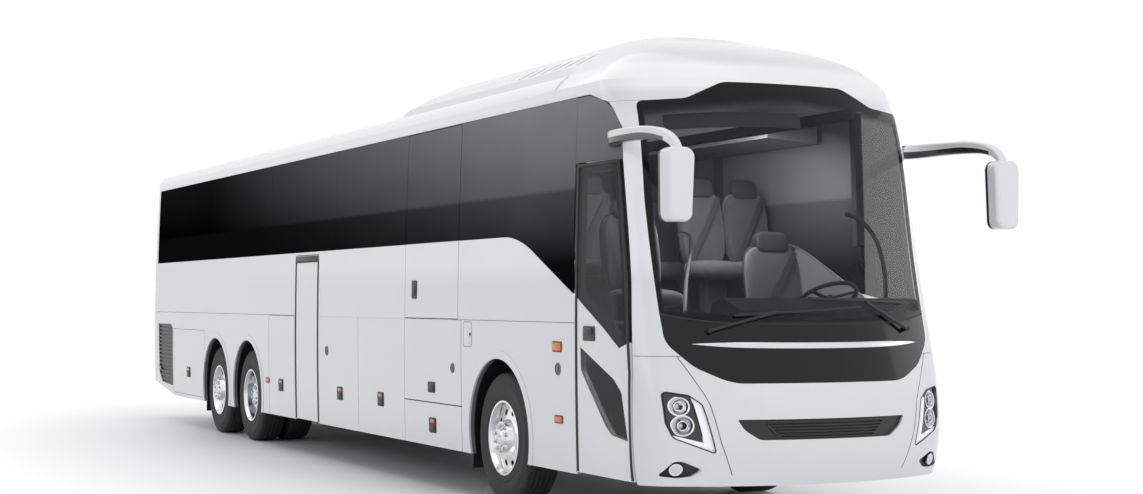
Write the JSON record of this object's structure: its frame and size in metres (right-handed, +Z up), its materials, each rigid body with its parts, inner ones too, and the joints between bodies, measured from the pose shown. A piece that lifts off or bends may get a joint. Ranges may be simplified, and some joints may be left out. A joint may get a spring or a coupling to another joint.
{
  "type": "three-axle touring coach",
  "caption": "Long single-deck touring coach with hollow cabin, plug doors, luggage flaps, emergency door, engine lid and steered front wheels.",
  "frame": {"origin": "on the ground under the middle of the overall length and width", "axes": "+X forward, +Y to the left, +Z up"},
  "size_m": [15.2736, 2.862, 3.6498],
  "materials": {
    "white_paint": "gloss",
    "dark_glass": "polished",
    "tyre_rubber": "matte",
    "wheel_alloy": "polished",
    "frame_steel": "satin",
    "deck_board": "matte",
    "seat_cloth": "woven",
    "lamp_lens": "polished",
    "tail_lens": "gloss",
    "black_trim": "satin"
  },
  "bodies": {
    "coach": {"axle_beams": "frame_steel", "bay_bulkheads": "frame_steel", "dashboard": "black_trim", "engine_block": "frame_steel", "floor_deck": "deck_board", "front_bumper": "white_paint", "front_cap": "white_paint", "front_seats": "seat_cloth", "grilles": "black_trim", "headlamps": "lamp_lens", "luggage_racks": "black_trim", "mirrors": "white_paint", "nose_panel": "black_trim", "passenger_seats": "seat_cloth", "rear_wall": "white_paint", "rear_window": "dark_glass", "roof_pod": "white_paint", "roof_shell": "white_paint", "side_glass": "dark_glass", "side_rails": "frame_steel", "tail_lamps": "tail_lens", "underframe": "frame_steel", "wall_left": "white_paint", "wall_right": "white_paint", "wheel_arches": "black_trim", "window_posts": "frame_steel", "windscreen": "dark_glass", "windscreen_pillars": "white_paint", "wipers": "black_trim"},
    "engine_lid": {"engine_lid": "white_paint"},
    "front_door_arm": {"front_door_arm": "frame_steel"},
    "front_door": {"front_door": "white_paint", "front_door_glass": "dark_glass"},
    "mid_door_arm": {"mid_door_arm": "frame_steel"},
    "mid_door": {"mid_door": "white_paint"},
    "emergency_door": {"emergency_door": "white_paint", "emergency_glass": "dark_glass"},
    "knuckle_right": {"knuckle_right": "frame_steel"},
    "knuckle_left": {"knuckle_left": "frame_steel"},
    "steering_wheel": {"steering_wheel": "black_trim"},
    "flap_left_1": {"flap_left_1": "white_paint"},
    "flap_left_2": {"flap_left_2": "white_paint"},
    "flap_left_3": {"flap_left_3": "white_paint"},
    "flap_right_1": {"flap_right_1": "white_paint"},
    "flap_right_2": {"flap_right_2": "white_paint"},
    "flap_right_3_lower": {"flap_right_3_lower": "white_paint"},
    "flap_right_3_upper": {"flap_right_3_upper": "white_paint"},
    "wheel_front_right": {"rim_front_right": "wheel_alloy", "tyre_front_right": "tyre_rubber"},
    "wheel_front_left": {"rim_front_left": "wheel_alloy", "tyre_front_left": "tyre_rubber"},
    "wheel_drive_right": {"rim_drive_right": "wheel_alloy", "tyre_drive_right": "tyre_rubber"},
    "wheel_drive_left": {"rim_drive_left": "wheel_alloy", "tyre_drive_left": "tyre_rubber"},
    "wheel_tag_right": {"rim_tag_right": "wheel_alloy", "tyre_tag_right": "tyre_rubber"},
    "wheel_tag_left": {"rim_tag_left": "wheel_alloy", "tyre_tag_left": "tyre_rubber"}
  },
  "joints": [
    {"name": "steer_left", "type": "hinge", "parent": "coach", "child": "knuckle_left", "pos_m": [4.515, 0.95, 0.522], "axis": [0, 0, 1], "range_deg": [-38, 38]},
    {"name": "steer_right", "type": "hinge", "parent": "coach", "child": "knuckle_right", "pos_m": [4.515, -0.95, 0.522], "axis": [0, 0, 1], "range_deg": [-38, 38]},
    {"name": "steering_wheel_turn", "type": "hinge", "parent": "coach", "child": "steering_wheel", "pos_m": [6.475, 0.56, 1.64], "axis": [-0.5, 0, 0.866], "range_deg": [-700, 700]},
    {"name": "front_right_spin", "type": "hinge", "parent": "knuckle_right", "child": "wheel_front_right", "pos_m": [4.515, -1.0775, 0.522], "axis": [0, 1, 0], "continuous": true},
    {"name": "front_left_spin", "type": "hinge", "parent": "knuckle_left", "child": "wheel_front_left", "pos_m": [4.515, 1.0775, 0.522], "axis": [0, 1, 0], "continuous": true},
    {"name": "drive_right_spin", "type": "hinge", "parent": "coach", "child": "wheel_drive_right", "pos_m": [-2.785, -1.0775, 0.522], "axis": [0, 1, 0], "continuous": true},
    {"name": "drive_left_spin", "type": "hinge", "parent": "coach", "child": "wheel_drive_left", "pos_m": [-2.785, 1.0775, 0.522], "axis": [0, 1, 0], "continuous": true},
    {"name": "tag_right_spin", "type": "hinge", "parent": "coach", "child": "wheel_tag_right", "pos_m": [-4.185, -1.0775, 0.522], "axis": [0, 1, 0], "continuous": true},
    {"name": "tag_left_spin", "type": "hinge", "parent": "coach", "child": "wheel_tag_left", "pos_m": [-4.185, 1.0775, 0.522], "axis": [0, 1, 0], "continuous": true},
    {"name": "front_door_swing", "type": "hinge", "parent": "coach", "child": "front_door_arm", "pos_m": [6.705, -1.12, 0.9], "axis": [0, 0, 1], "range_deg": [0, 105]},
    {"name": "front_door_leaf", "type": "hinge", "parent": "front_door_arm", "child": "front_door", "pos_m": [6.145, -1.12, 0.9], "axis": [0, 0, 1], "range_deg": [-105, 0]},
    {"name": "mid_door_swing", "type": "hinge", "parent": "coach", "child": "mid_door_arm", "pos_m": [-0.835, -1.12, 0.9], "axis": [0, 0, -1], "range_deg": [0, 105]},
    {"name": "mid_door_leaf", "type": "hinge", "parent": "mid_door_arm", "child": "mid_door", "pos_m": [-0.355, -1.12, 0.9], "axis": [0, 0, -1], "range_deg": [-105, 0]},
    {"name": "emergency_door_swing", "type": "hinge", "parent": "coach", "child": "emergency_door", "pos_m": [3.673, -1.283, 2], "axis": [0, 0, 1], "range_deg": [0, 95]},
    {"name": "flap_right_1_lift", "type": "hinge", "parent": "coach", "child": "flap_right_1", "pos_m": [0.505, -1.275, 1.454], "axis": [-1, 0, 0], "range_deg": [0, 90]},
    {"name": "flap_right_2_lift", "type": "hinge", "parent": "coach", "child": "flap_right_2", "pos_m": [1.76, -1.275, 1.454], "axis": [-1, 0, 0], "range_deg": [0, 90]},
    {"name": "flap_right_3_upper_lift", "type": "hinge", "parent": "coach", "child": "flap_right_3_upper", "pos_m": [3.07, -1.275, 1.454], "axis": [-1, 0, 0], "range_deg": [0, 90]},
    {"name": "flap_right_3_lower_lift", "type": "hinge", "parent": "coach", "child": "flap_right_3_lower", "pos_m": [3.07, -1.26742, 0.727], "axis": [-1, 0, 0], "range_deg": [0, 90]},
    {"name": "flap_left_1_lift", "type": "hinge", "parent": "coach", "child": "flap_left_1", "pos_m": [0.505, 1.275, 1.454], "axis": [1, 0, 0], "range_deg": [0, 90]},
    {"name": "flap_left_2_lift", "type": "hinge", "parent": "coach", "child": "flap_left_2", "pos_m": [1.76, 1.275, 1.454], "axis": [1, 0, 0], "range_deg": [0, 90]},
    {"name": "flap_left_3_lift", "type": "hinge", "parent": "coach", "child": "flap_left_3", "pos_m": [3.07, 1.275, 1.454], "axis": [1, 0, 0], "range_deg": [0, 90]},
    {"name": "engine_lid_lift", "type": "hinge", "parent": "coach", "child": "engine_lid", "pos_m": [-7.631, 0, 1.696], "axis": [0, 1, 0], "range_deg": [0, 80]}
  ],
  "couplings": [
    {"joint": "steer_right", "follows": "steer_left", "ratio": 1},
    {"joint": "steering_wheel_turn", "follows": "steer_left", "ratio": 18},
    {"joint": "front_door_leaf", "follows": "front_door_swing", "ratio": -1},
    {"joint": "mid_door_leaf", "follows": "mid_door_swing", "ratio": -1}
  ]
}
